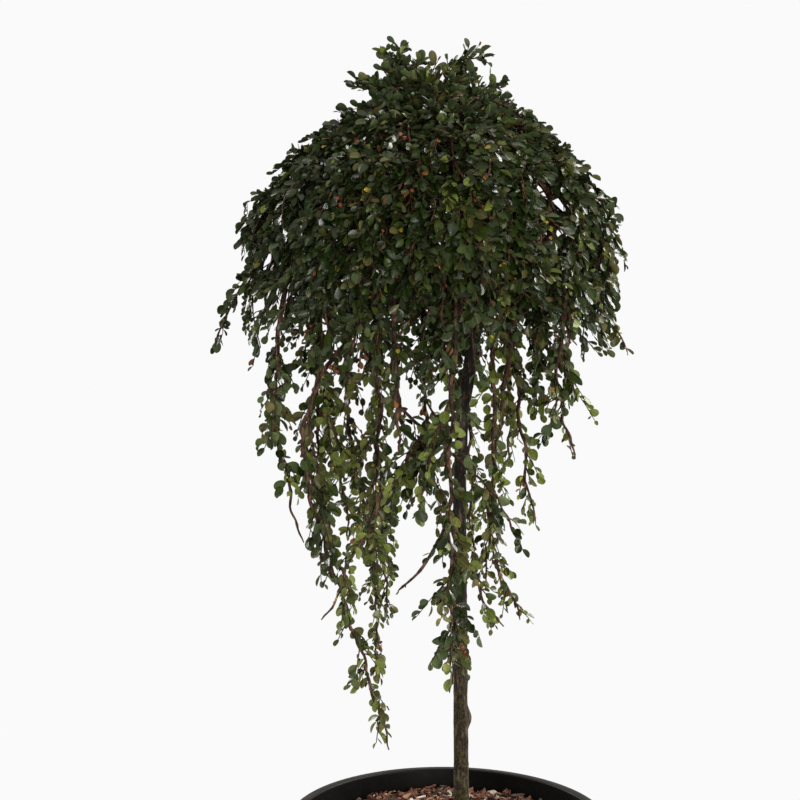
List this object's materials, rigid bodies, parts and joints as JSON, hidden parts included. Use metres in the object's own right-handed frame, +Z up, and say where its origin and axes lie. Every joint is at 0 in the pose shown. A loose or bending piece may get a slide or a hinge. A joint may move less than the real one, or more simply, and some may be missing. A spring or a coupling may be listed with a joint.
{
  "type": "potted weeping standard cotoneaster",
  "caption": "Small grafted tree with a domed crown of dark glossy leaves and long weeping shoots on a straight bare stem, in a round black nursery pot.",
  "frame": {"origin": "centre of the pot's flat underside", "axes": "+Z up along the pot's axis, +X to the right and +Y to the back as the picture shows the plant"},
  "size_m": [0.3566, 0.3645, 0.9044],
  "materials": {
    "pot_plastic": "black moulded polypropylene, satin",
    "compost_bark": "red-brown bark chips over compost, matt",
    "stem_bark": "dark grey-brown bark with greenish flecks, matt",
    "shoot_bark": "reddish-brown young bark, slightly glossy",
    "leaf_green": "dark green, glossy above and paler below"
  },
  "bodies": {
    "root": {"bough_back": "shoot_bark", "bough_back_left": "shoot_bark", "bough_back_right": "shoot_bark", "bough_dome_back_left": "shoot_bark", "bough_dome_back_right": "shoot_bark", "bough_dome_front_left": "shoot_bark", "bough_dome_front_right": "shoot_bark", "bough_dome_left_back": "shoot_bark", "bough_dome_left_front": "shoot_bark", "bough_dome_right_back": "shoot_bark", "bough_dome_right_front": "shoot_bark", "bough_front_centre": "shoot_bark", "bough_front_left": "shoot_bark", "bough_front_short": "shoot_bark", "bough_inner_left": "shoot_bark", "bough_left_back_long": "shoot_bark", "bough_left_long": "shoot_bark", "bough_left_middle": "shoot_bark", "bough_left_outer": "shoot_bark", "bough_right_back": "shoot_bark", "bough_right_front": "shoot_bark", "bough_right_inner": "shoot_bark", "bough_right_long": "shoot_bark", "bough_right_middle": "shoot_bark", "bough_right_outer": "shoot_bark", "compost": "compost_bark", "crown_back_left": "leaf_green", "crown_back_right": "leaf_green", "crown_front_left": "leaf_green", "crown_front_right": "leaf_green", "crown_left_back": "leaf_green", "crown_left_front": "leaf_green", "crown_right_back": "leaf_green", "crown_right_front": "leaf_green", "crown_top": "leaf_green", "pot": "pot_plastic", "shoots_back": "leaf_green", "shoots_back_left": "leaf_green", "shoots_back_right": "leaf_green", "shoots_front_centre": "leaf_green", "shoots_front_left": "leaf_green", "shoots_front_short": "leaf_green", "shoots_inner_left": "leaf_green", "shoots_left_back_long": "leaf_green", "shoots_left_long": "leaf_green", "shoots_left_middle": "leaf_green", "shoots_left_outer": "leaf_green", "shoots_low": "leaf_green", "shoots_right_back": "leaf_green", "shoots_right_front": "leaf_green", "shoots_right_inner": "leaf_green", "shoots_right_long": "leaf_green", "shoots_right_middle": "leaf_green", "shoots_right_outer": "leaf_green", "stem": "stem_bark"}
  },
  "joints": []
}
